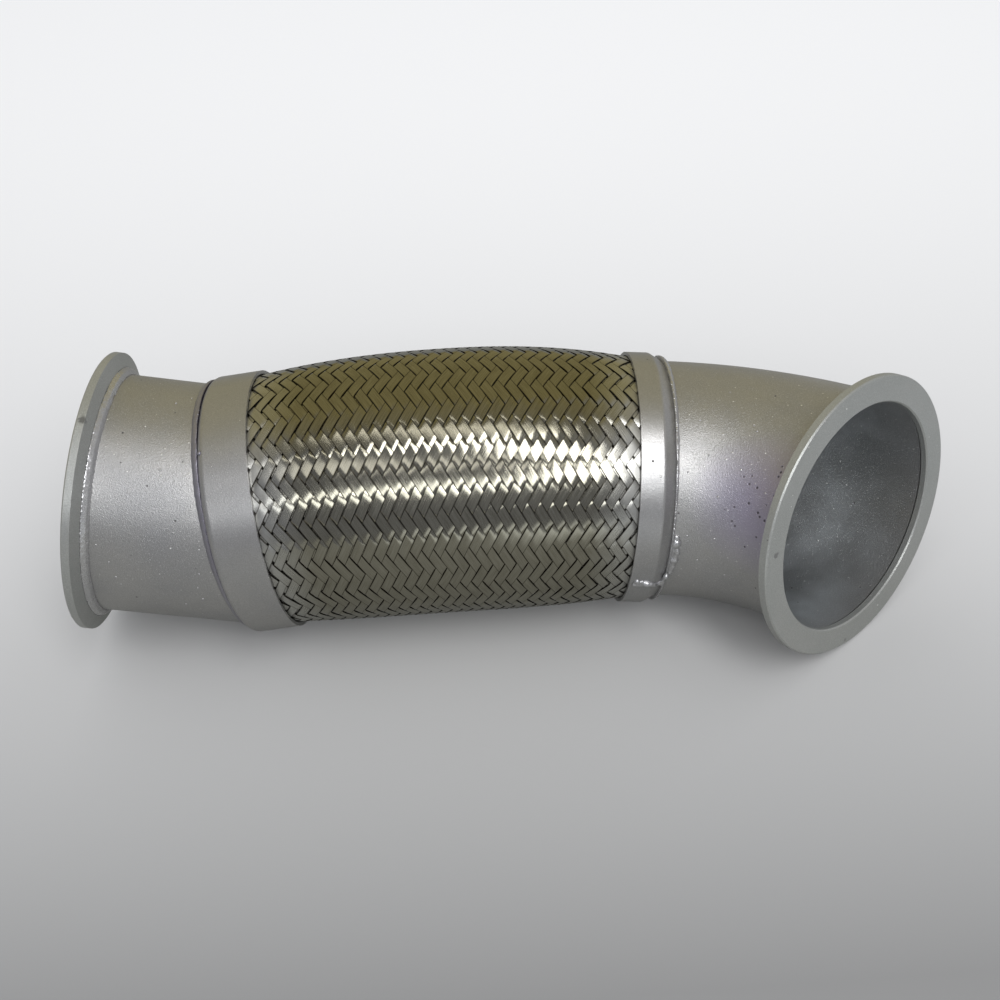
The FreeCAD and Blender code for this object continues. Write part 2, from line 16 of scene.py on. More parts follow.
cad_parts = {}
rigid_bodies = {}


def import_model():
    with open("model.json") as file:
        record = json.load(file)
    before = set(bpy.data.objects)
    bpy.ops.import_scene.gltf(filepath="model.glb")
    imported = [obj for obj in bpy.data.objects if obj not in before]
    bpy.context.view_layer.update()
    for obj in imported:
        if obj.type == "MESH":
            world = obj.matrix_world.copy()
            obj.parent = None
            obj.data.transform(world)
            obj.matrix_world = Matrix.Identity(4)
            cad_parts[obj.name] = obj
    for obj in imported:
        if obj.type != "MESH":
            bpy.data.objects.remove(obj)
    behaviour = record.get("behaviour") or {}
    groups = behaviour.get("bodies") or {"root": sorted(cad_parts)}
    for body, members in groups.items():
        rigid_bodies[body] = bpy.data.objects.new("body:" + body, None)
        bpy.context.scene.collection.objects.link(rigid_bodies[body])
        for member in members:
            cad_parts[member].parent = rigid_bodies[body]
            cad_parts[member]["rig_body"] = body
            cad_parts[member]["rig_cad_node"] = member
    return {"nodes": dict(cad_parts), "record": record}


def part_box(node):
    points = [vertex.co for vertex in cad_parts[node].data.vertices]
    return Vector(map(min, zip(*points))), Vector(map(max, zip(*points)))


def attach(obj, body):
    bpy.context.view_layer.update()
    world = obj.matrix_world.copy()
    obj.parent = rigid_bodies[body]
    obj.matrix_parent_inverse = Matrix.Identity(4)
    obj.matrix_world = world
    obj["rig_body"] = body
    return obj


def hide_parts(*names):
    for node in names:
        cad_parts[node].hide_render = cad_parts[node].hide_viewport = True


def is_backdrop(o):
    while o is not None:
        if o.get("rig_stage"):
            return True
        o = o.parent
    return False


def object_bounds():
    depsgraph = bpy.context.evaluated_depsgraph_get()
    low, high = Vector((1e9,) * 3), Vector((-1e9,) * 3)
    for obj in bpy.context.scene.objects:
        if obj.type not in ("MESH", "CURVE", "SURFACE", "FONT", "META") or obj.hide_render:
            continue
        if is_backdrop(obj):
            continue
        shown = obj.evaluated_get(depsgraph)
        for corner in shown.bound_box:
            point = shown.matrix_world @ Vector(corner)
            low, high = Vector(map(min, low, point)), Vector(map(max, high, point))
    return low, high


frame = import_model()
cad_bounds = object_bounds()
nodes = frame["nodes"]
mounts = {mount["name"]: mount for mount in frame["record"]["mounts"]}
MM = 0.001
print("pieces in the frame:", ", ".join(sorted(nodes)))

# %% [markdown]
# The sleeve is a slight arch between two collars, and everything woven round it needs the arch's
# own frame. Its place could be typed in, but measuring it on the collars is safer: each collar
# opens towards the braid in a flat ring, and a flat ring tells both its centre and its axis.


# %% Measure the ring at a collar's open end
RING_DEPTH = 1 * MM


def distinct_points(node):
    """Corner points of a node, each one once, as an array."""
    points = np.array([vertex.co for vertex in nodes[node].data.vertices])
    return np.unique(points.round(7), axis=0)


def thinnest_direction(points):
    """The direction in which a cloud of points is flattest."""
    return np.linalg.eigh(np.cov((points - points.mean(0)).T))[1][:, 0]


def end_ring(node, towards):
    """Centre, outward axis and radius of the flat ring at the end of a turned node."""
    points = distinct_points(node)
    axis = thinnest_direction(points)
    axis = axis * np.sign(axis @ (np.array(towards) - points.mean(0)))
    heights = points @ axis
    ring = points[heights > heights.max() - RING_DEPTH]
    axis = thinnest_direction(ring) * np.sign(thinnest_direction(ring) @ axis)
    centre = ring.mean(0)
    return Vector(centre), Vector(axis), float(np.linalg.norm(ring - centre, axis=1).min())


sleeve_middle = sum(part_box("braid"), Vector()) / 2
inlet_end, inlet_axis, inlet_cavity = end_ring("inlet_collar", sleeve_middle)
outlet_end, outlet_axis, outlet_cavity = end_ring("outlet_collar", sleeve_middle)
print(f"collar openings: {inlet_cavity / MM:.2f} mm and {outlet_cavity / MM:.2f} mm in radius")

# %% [markdown]
# Two points and two directions fix the arch: the collars' axes lean towards each other by the
# bend, the chord joins their centres, and the arch's convex side is where the axes meet.

# %% Work out the arch
chord = outlet_end - inlet_end
half_bend = inlet_axis.angle(-outlet_axis) / 2
arch_radius = chord.length / 2 / math.sin(half_bend)
arch_forward = chord.normalized()
arch_convex = (inlet_axis + outlet_axis).normalized()
arch_side = arch_convex.cross(arch_forward)
arch_middle = (inlet_end + outlet_end) / 2 - arch_convex * arch_radius * math.cos(half_bend)
flex_length = 2 * half_bend * arch_radius
print(f"braid {flex_length / MM:.1f} mm long, bent {math.degrees(2 * half_bend):.1f} degrees")


def sleeve_points(along, turn, radius):
    """Points by length along the sleeve from its middle, angle round it and radius (arrays)."""
    bent = np.clip(along, -flex_length / 2, flex_length / 2)
    angle = bent / arch_radius
    forward, convex, side = (np.array(axis) for axis in (arch_forward, arch_convex, arch_side))
    outward = np.outer(np.sin(angle), forward) + np.outer(np.cos(angle), convex)
    tangent = np.outer(np.cos(angle), forward) - np.outer(np.sin(angle), convex)
    line = np.array(arch_middle) + outward * arch_radius + tangent * (along - bent)[:, None]
    around = outward * np.cos(turn)[:, None] + side * np.sin(turn)[:, None]
    return line + around * radius[:, None]


def distance_from_line(node):
    """How far each corner point of a node lies from the sleeve's centre line."""
    rays = distinct_points(node) - np.array(arch_middle)
    in_plane = np.hypot(rays @ np.array(arch_forward), rays @ np.array(arch_convex)) - arch_radius
    return np.hypot(in_plane, rays @ np.array(arch_side))


braid_radius_middle = distance_from_line("braid").max()
print(f"braid at its middle: {braid_radius_middle / MM:.2f} mm in radius")


# %% [markdown]
# The camera stands where the photographer stood: half a metre away, looking down on the pipe.
# Its place was found by laying the measured pipe over the photograph until the outlines agreed.

# %% Camera
CAMERA_PLACE = Vector((-1.2, -449.8, 459.2)) * MM
CAMERA_RIGHT = Vector((0.9972, -0.0430, -0.0598))
CAMERA_UP = Vector((0.0733, 0.6541, 0.7528))
LENS = 39.8
PHOTO_SIZE = 1000


def add_camera():
    bpy.ops.object.camera_add(location=CAMERA_PLACE)
    camera = bpy.context.object
    camera.name = "camera"
    right = CAMERA_RIGHT.normalized()
    up = (CAMERA_UP - CAMERA_UP.dot(right) * right).normalized()
    turn = Matrix((right, up, right.cross(up))).transposed()
    camera.rotation_euler = turn.to_euler()
    camera.data.lens = LENS
    camera.data.clip_start = 0.01
    bpy.context.scene.camera = camera
    return camera


camera = add_camera()
bpy.context.view_layer.update()
print("camera at", tuple(round(value, 3) for value in camera.location))

# %% [markdown]
# Marks such as drips and nibs are known by where they are in the photograph. A ray from the
# camera through that pixel, stopped by the construction model, gives the place on the metal.


# %% From a pixel to the metal
def on_metal(pixel_x, pixel_y):
    """The point and the outward normal where a pixel's ray first meets the pipe."""
    half_frame = PHOTO_SIZE / 2
    reach = camera.data.sensor_width / 2 / camera.data.lens
    ray = Vector(((pixel_x - half_frame) * reach, (half_frame - pixel_y) * reach, -half_frame))
    direction = (camera.matrix_world.to_3x3() @ ray).normalized()
    shown = [nodes[node] for node in sorted(nodes) if not nodes[node].hide_viewport]
    casts = [node.ray_cast(camera.location, direction) for node in shown]
    hits = [(point, normal) for hit, point, normal, _ in casts if hit]
    return min(hits, key=lambda found: (found[0] - camera.location).length)


INLET_PIPE_PIXEL = (150, 490)
print("middle of the inlet pipe:", on_metal(*INLET_PIPE_PIXEL)[0])

# %% [markdown]
# Materials are node trees. A few short helpers keep them readable: one adds a node and sets its
# inputs, plain values and links alike, and one starts a material with its shader.


# %% Helpers for node trees
def add_node(tree, kind, output=0, settings=None, **inputs):
    """Add a node, set its settings and inputs, and return one of its outputs."""
    node = tree.nodes.new(kind)
    for name, value in (settings or {}).items():
        setattr(node, name, value)
    for name, value in inputs.items():
        socket = node.inputs[int(name[1:])] if name[1:].isdigit() else node.inputs[name.replace("_", " ")]
        if isinstance(value, bpy.types.NodeSocket):
            tree.links.new(value, socket)
        else:
            socket.default_value = value
    return node.outputs[output]


def maths(tree, operation, first, second=0.0, clamp=False):
    settings = {"operation": operation, "use_clamp": clamp}
    return add_node(tree, "ShaderNodeMath", settings=settings, _0=first, _1=second)


def ramp(tree, value, low, high, to_low=0.0, to_high=1.0):
    """Map a value from one range to another, clamped."""
    return add_node(
        tree, "ShaderNodeMapRange", Value=value, From_Min=low, From_Max=high, To_Min=to_low, To_Max=to_high
    )


def mix_colour(tree, share, first, second):
    node = tree.nodes.new("ShaderNodeMix")
    node.data_type = "RGBA"
    for index, value in ((0, share), (6, first), (7, second)):
        if isinstance(value, bpy.types.NodeSocket):
            tree.links.new(value, node.inputs[index])
        else:
            node.inputs[index].default_value = value
    return node.outputs[2]


def object_place(tree):
    return tree.nodes.new("ShaderNodeTexCoord").outputs["Object"]


def new_material(name, **constants):
    """A material whose Principled shader has these plain values."""
    material = bpy.data.materials.new(name)
    material.use_nodes = True
    shader = material.node_tree.nodes["Principled BSDF"]
    for socket, value in constants.items():
        shader.inputs[socket.replace("_", " ")].default_value = value
    return material, material.node_tree, shader


def feed(tree, shader, **links):
    for socket, value in links.items():
        tree.links.new(value, shader.inputs[socket.replace("_", " ")])


print("node helpers ready")

# %% [markdown]
# The studio is one wide floor under long soft lamps. Its grey is painted shade: it darkens towards
# the camera, as a sweep of paper lit from the back does, and is pale again behind it. A backdrop of
# its own could do this, but one floor whose grey follows Y needs no seam. Polished metal shows its
# surroundings more than itself, so rays that leave the metal meet a dim workshop: olive at the back,
# grey in front, lighter to the right. There the floor is a painted reflection: dark, lighter to the
# right, with one painted pool of light in front of the elbow.

# %% Floor, lamps and sky
FLOOR_SIZE = 9.0
FLOOR_NEAR_GREY = 0.24
FLOOR_FAR_GREY = 1.0
FLOOR_NEAR_PLACE = -0.24
FLOOR_FADE = 0.5
FLOOR_PALE_AGAIN = (-0.32, -1.0)
# painted reflection: the floor's colours as glossy rays see them, with a painted pool of light
FLOOR_IN_METAL = (0.26, 0.26, 0.245, 1)
FLOOR_IN_METAL_RIGHT = (0.36, 0.37, 0.375, 1)
FLOOR_IN_METAL_POOL = (0.68, 0.70, 0.70, 1)
POOL_STARTS = (-0.02, 0.08)
POOL_ENDS = (0.22, 0.4)
POOL_FRONT = (-0.3, -0.5)
LAMPS = {
    "window": ((0.46, -0.9, 1.5), (0.5, 1.2), 11.5, (1.0, 1.0, 1.0)),
    "wall": ((-0.4, -0.95, 1.5), (1.0, 0.32), 1.3, (1.0, 0.99, 0.97)),
    "low": ((0.05, -1.4, 1.06), (1.5, 0.3), 4.5, (0.97, 0.99, 1.0)),
    "ceiling": ((-0.1, -0.24, 1.8), (1.2, 0.12), 0.9, (1.0, 0.98, 0.92)),
}
SKY_STRENGTH = 0.82
ROOM_BACK = (0.34, 0.297, 0.145, 1)
ROOM_FRONT = (0.22, 0.225, 0.245, 1)
ROOM_RIGHT = (0.42, 0.42, 0.42, 1)


def deselect_all():
    bpy.ops.object.select_all(action="DESELECT")


def floor_material():
    """Painted shade: grey fading along Y; painted reflection: metal sees it dark, with a painted pool of
    light.
    """
    material, tree, shader = new_material("studio_floor", Roughness=1.0, Specular_IOR_Level=0.0)
    split = tree.nodes.new("ShaderNodeSeparateXYZ")
    tree.links.new(object_place(tree), split.inputs[0])
    # painted shade: the grey fades from pale far away to dark near the camera, and is pale again behind it
    beyond = maths(tree, "SUBTRACT", split.outputs["Y"], FLOOR_NEAR_PLACE)
    fade = maths(tree, "EXPONENT", maths(tree, "MULTIPLY", beyond, -1 / FLOOR_FADE))
    grey = ramp(tree, fade, 0.0, 1.0, FLOOR_FAR_GREY, FLOOR_NEAR_GREY)
    behind_camera = ramp(tree, split.outputs["Y"], *FLOOR_PALE_AGAIN)
    grey = maths(tree, "MAXIMUM", grey, maths(tree, "MULTIPLY", behind_camera, FLOOR_FAR_GREY))
    # painted reflection: glossy rays see the floor dark, lighter to the right, with a painted pool of light
    light_path = tree.nodes.new("ShaderNodeLightPath")
    starts = ramp(tree, split.outputs["X"], *POOL_STARTS)
    starts = maths(tree, "MULTIPLY", starts, ramp(tree, split.outputs["Y"], *POOL_FRONT))
    ends = ramp(tree, split.outputs["X"], *POOL_ENDS)
    in_metal = mix_colour(tree, starts, FLOOR_IN_METAL, FLOOR_IN_METAL_POOL)
    in_metal = mix_colour(tree, ends, in_metal, FLOOR_IN_METAL_RIGHT)
    seen = mix_colour(tree, light_path.outputs["Is Glossy Ray"], grey, in_metal)
    feed(tree, shader, Base_Color=seen)
    return material


def add_floor():
    deselect_all()
    bpy.ops.mesh.primitive_plane_add(size=FLOOR_SIZE)
    floor = bpy.context.object
    floor.name = "floor"
    floor.data.materials.append(floor_material())
    floor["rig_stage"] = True
    return floor


def add_lamp(name, place, lengths, power, colour):
    bpy.ops.object.light_add(type="AREA", location=place)
    lamp = bpy.context.object
    lamp.name = f"{name}_lamp"
    lamp.data.shape = "RECTANGLE"
    lamp.data.size, lamp.data.size_y = lengths
    lamp.data.energy = power
    lamp.data.color = colour
    lamp.rotation_euler = (sleeve_middle - Vector(place)).to_track_quat("-Z", "Y").to_euler()


def add_sky():
    world = bpy.data.worlds.new("sky")
    world.use_nodes = True
    tree = world.node_tree
    sky = tree.nodes["Background"]
    sky.inputs["Color"].default_value = (0.97, 0.98, 1.0, 1)
    sky.inputs["Strength"].default_value = SKY_STRENGTH
    direction = tree.nodes.new("ShaderNodeTexCoord").outputs["Generated"]
    split = tree.nodes.new("ShaderNodeSeparateXYZ")
    tree.links.new(direction, split.inputs[0])
    room_colour = mix_colour(tree, ramp(tree, split.outputs["Y"], -0.35, 0.3), ROOM_FRONT, ROOM_BACK)
    room_colour = mix_colour(tree, ramp(tree, split.outputs["X"], 0.45, 0.85), room_colour, ROOM_RIGHT)
    room = add_node(tree, "ShaderNodeBackground", Color=room_colour)
    from_metal = tree.nodes.new("ShaderNodeLightPath").outputs["Is Glossy Ray"]
    seen = add_node(tree, "ShaderNodeMixShader", _0=from_metal, _1=sky.outputs[0], _2=room)
    tree.links.new(seen, tree.nodes["World Output"].inputs["Surface"])
    bpy.context.scene.world = world


floor = add_floor()
for lamp_name, lamp_values in LAMPS.items():
    add_lamp(lamp_name, *lamp_values)
add_sky()
bpy.context.scene.view_settings.view_transform = "Standard"
print("stage:", floor.name, "and", len(LAMPS), "lamps")

# %% [markdown]
# Paint, spatter and pits turn up in several finishes, so each is a node group: built once, with
# named inputs, and placed in every material that needs it with its own values.


# %% Shared node groups
PATCHES_PER_METRE = 26.0
PEEL_PER_METRE = 480.0
DOT_CORE = 0.45


def new_group(name, inputs, outputs):
    group = bpy.data.node_groups.new(name, "ShaderNodeTree")
    for socket, kind, value in inputs:
        made = group.interface.new_socket(socket, in_out="INPUT", socket_type=kind)
        if value is not None:
            made.default_value = value
    for socket, kind in outputs:
        group.interface.new_socket(socket, in_out="OUTPUT", socket_type=kind)
    return group, group.nodes.new("NodeGroupInput"), group.nodes.new("NodeGroupOutput")


def build_grain_group():
    """Fine sandy skin of sprayed paint, a slower unevenness under it, and its orange peel."""
    group, start, end = new_group(
        "paint_grain",
        [("Vector", "NodeSocketVector", None), ("Grains per metre", "NodeSocketFloat", 1900.0)],
        [("Height", "NodeSocketFloat"), ("Unevenness", "NodeSocketFloat"), ("Peel", "NodeSocketFloat")],
    )
    place, grains = start.outputs[0], start.outputs[1]
    noise = "ShaderNodeTexNoise"
    fine = add_node(group, noise, Vector=place, Scale=grains, Detail=2.0, Roughness=0.6)
    slow = add_node(group, noise, Vector=place, Scale=PATCHES_PER_METRE, Detail=4.0, Roughness=0.55)
    peel = add_node(group, noise, Vector=place, Scale=PEEL_PER_METRE, Detail=1.0)
    group.links.new(peel, end.inputs[2])
    group.links.new(fine, end.inputs[0])
    group.links.new(slow, end.inputs[1])
    return group


def build_dots_group():
    """Round dots, one to a cell, of which only a share is kept."""
    group, start, end = new_group(
        "scattered_dots",
        [
            ("Vector", "NodeSocketVector", None),
            ("Cells per metre", "NodeSocketFloat", 120.0),
            ("Kept share", "NodeSocketFloat", 0.3),
            ("Dot size", "NodeSocketFloat", 0.12),
        ],
        [("Dot", "NodeSocketFloat")],
    )
    cells = group.nodes.new("ShaderNodeTexVoronoi")
    group.links.new(start.outputs[0], cells.inputs["Vector"])
    group.links.new(start.outputs[1], cells.inputs["Scale"])
    split = add_node(group, "ShaderNodeSeparateColor", Color=cells.outputs["Color"])
    kept = maths(group, "LESS_THAN", split, start.outputs[2])
    inner = maths(group, "MULTIPLY", start.outputs[3], DOT_CORE)
    dot = group.nodes.new("ShaderNodeMapRange")
    group.links.new(cells.outputs["Distance"], dot.inputs["Value"])
    group.links.new(start.outputs[3], dot.inputs["From Min"])
    group.links.new(inner, dot.inputs["From Max"])
    group.links.new(maths(group, "MULTIPLY", dot.outputs[0], kept), end.inputs[0])
    return group


paint_grain = build_grain_group()
scattered_dots = build_dots_group()


def place_group(tree, group, output=0, **inputs):
    return add_node(tree, "ShaderNodeGroup", output, {"node_tree": group}, **inputs)


print("groups:", paint_grain.name, scattered_dots.name)

# %% [markdown]
# The pipes, collars, flanges and welds wear the same silver heat paint: aluminium flakes in a
# dull binder. One picture of scuffed metal could be wrapped on all of them, but layers of noise
# fit every piece with no seams: sandy grain, dark pits, bright spatter and painted glint specks,
# in differing amounts.


# %% Painted finishes
PEEL_DEPTH = 0.3
DOTS_PER_METRE = 230.0
DOT_SIZE = 0.12
PITS_PER_METRE = 170.0
PIT_SIZE = 0.11
DOT_PAINT = (0.95, 0.95, 0.93, 1)
PIT_DARK = (0.06, 0.055, 0.06, 1)
GRAIN_DARK = (0.16, 0.155, 0.15, 1)
SCORCH_VIOLET = (0.47, 0.43, 0.56, 1)


def place_dots(tree, place, per_metre, share, size):
    dots = {"Cells_per_metre": per_metre, "Kept_share": share, "Dot_size": size}
    return place_group(tree, scattered_dots, Vector=place, **dots)


def paint(name, colour, deep_colour, roughness, grain_depth, spatter, pits, extras=(), metallic=0.85):
    """Silver paint; spatter and pits are the shares of cells that hold a dot.

    Extras are called in turn with the tree, the place, the colour and the pits, and return
    the last two, changed."""
    material, tree, shader = new_material(name, Metallic=metallic)
    place = object_place(tree)
    grain = place_group(tree, paint_grain, 0, Vector=place)
    slow = place_group(tree, paint_grain, 1, Vector=place)
    thick = ramp(tree, slow, 0.42, 0.58, 0.3, 1.0)
    bright = place_dots(tree, place, DOTS_PER_METRE, spatter, DOT_SIZE)
    # painted glint: the grain's brightest specks are painted near white, standing in for the sparkle of the
    # flakes
    glints = maths(tree, "MULTIPLY", ramp(tree, grain, 0.64, 0.74), spatter)
    bright = maths(tree, "MULTIPLY", maths(tree, "MAXIMUM", bright, glints), thick)
    dark = place_dots(tree, place, PITS_PER_METRE, pits, PIT_SIZE)
    body = mix_colour(tree, ramp(tree, slow, 0.35, 0.65), (*colour, 1), (*deep_colour, 1))
    body = mix_colour(tree, ramp(tree, grain, 0.35, 0.75, 0.35, 0.0), body, GRAIN_DARK)
    for extra in extras:
        body, dark = extra(tree, place, body, dark)
    speckled = mix_colour(tree, bright, body, DOT_PAINT)
    pitted = mix_colour(tree, maths(tree, "MULTIPLY", dark, 0.85), speckled, PIT_DARK)
    peel = ramp(tree, place_group(tree, paint_grain, 2, Vector=place), 0.6, 0.85, 0.0, PEEL_DEPTH)
    relief = maths(tree, "MULTIPLY", maths(tree, "ADD", grain, peel), grain_depth)
    relief = maths(tree, "ADD", relief, maths(tree, "MULTIPLY", bright, 0.5))
    relief = maths(tree, "SUBTRACT", relief, maths(tree, "MULTIPLY", dark, 0.4))
    bump = add_node(tree, "ShaderNodeBump", Height=relief, Strength=0.6, Distance=0.6 * MM)
    uneven = ramp(tree, slow, 0.3, 0.7, roughness - 0.05, roughness + 0.06)
    rough = maths(tree, "ADD", uneven, maths(tree, "MULTIPLY", dark, 0.3), clamp=True)
    feed(tree, shader, Base_Color=pitted, Roughness=rough, Normal=bump)
    return material


print("paint recipe:", DOTS_PER_METRE, "dots and", PITS_PER_METRE, "pits to a metre, at most")

# %% [markdown]
# Use has marked the paint in a few places. The weld's heat turned it violet beside the outlet
# flange and spat soot there, and the flanges have scuffs. Painted light and shade join them: the
# pipe's inside is painted a lighter blue-grey, and the crease at the foot of a bead is painted
# dark. Each is a small function that changes the colour and the pits, so a paint takes only the
# ones it needs. Both painted ones find their place by how open the surface lies, which holds from every
# side.

# %% Heat, painted light inside, painted crease shade and scuffs
HEAT_SHARE = 0.85
SOOT_PER_METRE = 300.0
SOOT_SHARE = 0.85
SOOT_SIZE = 0.26
SOOT_CLOUDS_PER_METRE = 90.0
INSIDE_PATCHES_PER_METRE = 22.0
INSIDE_DARK_PATCHES = (0.34, 0.36, 0.37, 1)
MARK_SHARE = 0.8
RAGGED = 3 * MM
RAGGED_PER_METRE = 500.0


def distance_to(tree, place, point):
    return add_node(tree, "ShaderNodeVectorMath", 1, {"operation": "DISTANCE"}, _0=place, _1=point)


def scorched(pixel, radius):
    """Round a pixel's place the weld's heat has turned the paint violet and left soot dots."""
    centre = on_metal(*pixel)[0]

    def add_scorch(tree, place, body, dark):
        away = distance_to(tree, place, centre)
        heat = ramp(tree, away, radius, radius * 0.3)
        body = mix_colour(tree, maths(tree, "MULTIPLY", heat, HEAT_SHARE), body, SCORCH_VIOLET)
        soot = place_dots(tree, place, SOOT_PER_METRE, SOOT_SHARE, SOOT_SIZE)
        cloud = add_node(tree, "ShaderNodeTexNoise", Vector=place, Scale=SOOT_CLOUDS_PER_METRE, Detail=1.0)
        cloudy = maths(tree, "MULTIPLY", heat, ramp(tree, cloud, 0.46, 0.54))
        soot = maths(tree, "MULTIPLY", soot, ramp(tree, cloudy, 0.5, 0.75))
        return body, maths(tree, "MAXIMUM", dark, soot)

    return add_scorch


def inside_painted_light(lit_colour, reach):
    """Painted light: where the pipe's wall closes in all round, the paint turns a lighter blue-grey."""

    def add_inside_light(tree, place, body, dark):
        settings = {"samples": 8, "only_local": True}
        openness = add_node(tree, "ShaderNodeAmbientOcclusion", 1, settings, Distance=reach)
        cloud = add_node(tree, "ShaderNodeTexNoise", Vector=place, Scale=INSIDE_PATCHES_PER_METRE, Detail=3.0)
        inside_tone = mix_colour(tree, ramp(tree, cloud, 0.4, 0.62), lit_colour, INSIDE_DARK_PATCHES)
        # painted light: where the wall closes in, the paint takes the lighter inside colour
        return mix_colour(tree, ramp(tree, openness, 0.62, 0.4), body, inside_tone), dark

    return add_inside_light


def painted_crease_shade(shade_colour, reach):
    """Painted shade: the crease at the foot of a bead is painted a dark violet."""

    def add_crease_shade(tree, place, body, dark):
        openness = add_node(tree, "ShaderNodeAmbientOcclusion", 1, {"samples": 8}, Distance=reach)
        return mix_colour(tree, ramp(tree, openness, 0.9, 0.55), body, shade_colour), dark

    return add_crease_shade


def marked(pixel, radius, tone):
    """One scuff or stain at a pixel's place."""
    centre = on_metal(*pixel)[0]

    def add_mark(tree, place, body, dark):
        cloud = add_node(tree, "ShaderNodeTexNoise", 1, Vector=place, Scale=RAGGED_PER_METRE)
        settings = {"operation": "MULTIPLY_ADD"}
        ragged = add_node(tree, "ShaderNodeVectorMath", 0, settings, _0=cloud, _1=(RAGGED,) * 3, _2=place)
        away = distance_to(tree, ragged, centre + Vector((RAGGED / 2,) * 3))
        spot = ramp(tree, away, radius, radius * 0.5)
        return mix_colour(tree, maths(tree, "MULTIPLY", spot, MARK_SHARE), body, (tone, tone, tone, 1)), dark

    return add_mark


print("marks ready; the rough edge of a scuff is", RAGGED / MM, "mm wide")

# %% [markdown]
# With the recipe and the marks at hand, each kind of piece gets its own mix. The flanges are
# turned and lie duller under thicker paint, the welds are brighter, and the bead on the inlet
# pipe is darker than its neighbours, with painted violet shade in the crease on both sides.

# %% Mix the paints
# painted light: the lighter blue-grey that the closed-in inside of the pipe is painted
INSIDE_PAINTED_LIGHT = (0.70, 0.75, 0.78, 1)
INSIDE_REACH = 0.3
SCORCHED_PIXEL = (768, 508)
SCORCH_RADIUS = 40 * MM
SCUFFS = [
    ((82, 420), 2.6, 0.12),
    ((776, 556), 2.2, 0.2),
    ((808, 430), 1.8, 0.8),
    ((845, 640), 1.6, 0.22),
]
# painted shade: the dark violet put in the crease at a bead's foot
CREASE_SHADE_VIOLET = (0.10, 0.09, 0.13, 1)
CREASE_SHADE_REACH = 3 * MM
PIPE_MARKS_AND_LIGHT = [inside_painted_light(INSIDE_PAINTED_LIGHT, INSIDE_REACH), scorched(SCORCHED_PIXEL, SCORCH_RADIUS)]
FLANGE_MARKS = [marked(pixel, radius * MM, tone) for pixel, radius, tone in SCUFFS]
BEAD_CREASE_SHADE = [painted_crease_shade(CREASE_SHADE_VIOLET, CREASE_SHADE_REACH)]
RECIPES = {
    "painted_pipe": ((0.55, 0.545, 0.54), (0.48, 0.48, 0.49), 0.36, 0.5, 0.55, 0.16, PIPE_MARKS_AND_LIGHT),
    "painted_collar": ((0.53, 0.525, 0.52), (0.47, 0.47, 0.475), 0.34, 0.2, 0.1, 0.02),
    "painted_flange": ((0.48, 0.49, 0.475), (0.44, 0.455, 0.44), 0.36, 0.2, 0.12, 0.04, FLANGE_MARKS, 0.65),
    "painted_weld": ((0.70, 0.70, 0.71), (0.6, 0.6, 0.62), 0.27, 0.2, 0.08, 0.05),
}
PAINTS = {slot: paint(slot, *recipe) for slot, recipe in RECIPES.items()}
BEAD_RECIPE = ((0.42, 0.41, 0.46), (0.34, 0.33, 0.39), 0.4, 0.2, 0.1, 0.1, BEAD_CREASE_SHADE)
WELD_FINISHES = {"inlet_pipe_weld": paint("bead_paint", *BEAD_RECIPE)}
print("paints:", ", ".join(PAINTS))

# %% [markdown]
# The strands of the braid are bundles of drawn stainless wires lying side by side: almost a
# mirror across each flat, scratched and grooved along it. Every wire could be a tube of its own,
# but thousands of them would be too heavy, so the pattern follows each strand's own UV map, whose
# first axis counts floats along the strand and whose second crosses it. Near the collars, where
# hands and clamps held the braid, the wires are duller, and they are painted whiter: a painted
# sheen. Each strand's edges are painted nearly black, a painted shade where strands meet.

# %% Wire steel and the sheet steel inside
WIRES_PER_STRAND = 10
FLOATS_ALONG = 30
HANDLED_AND_SHEEN_FLOATS = (3.5, 0.5)
HANDLED_SHEEN_SHARE = 0.8
STRAND_TO_STREAKS = (0.35, 4.0, 1.0)
WIRE_TONES = ((0.30, 0.285, 0.225, 1), (0.41, 0.395, 0.33, 1))
# painted sheen: the whiter tone of the ends near the collars
HANDLED_SHEEN_TONE = (0.62, 0.62, 0.6, 1)
GROOVE_TONE = (0.10, 0.09, 0.065, 1)
# painted shade: near black for a strand's edges, where shade falls between strands
EDGE_SHADE_TONE = (0.035, 0.03, 0.02, 1)


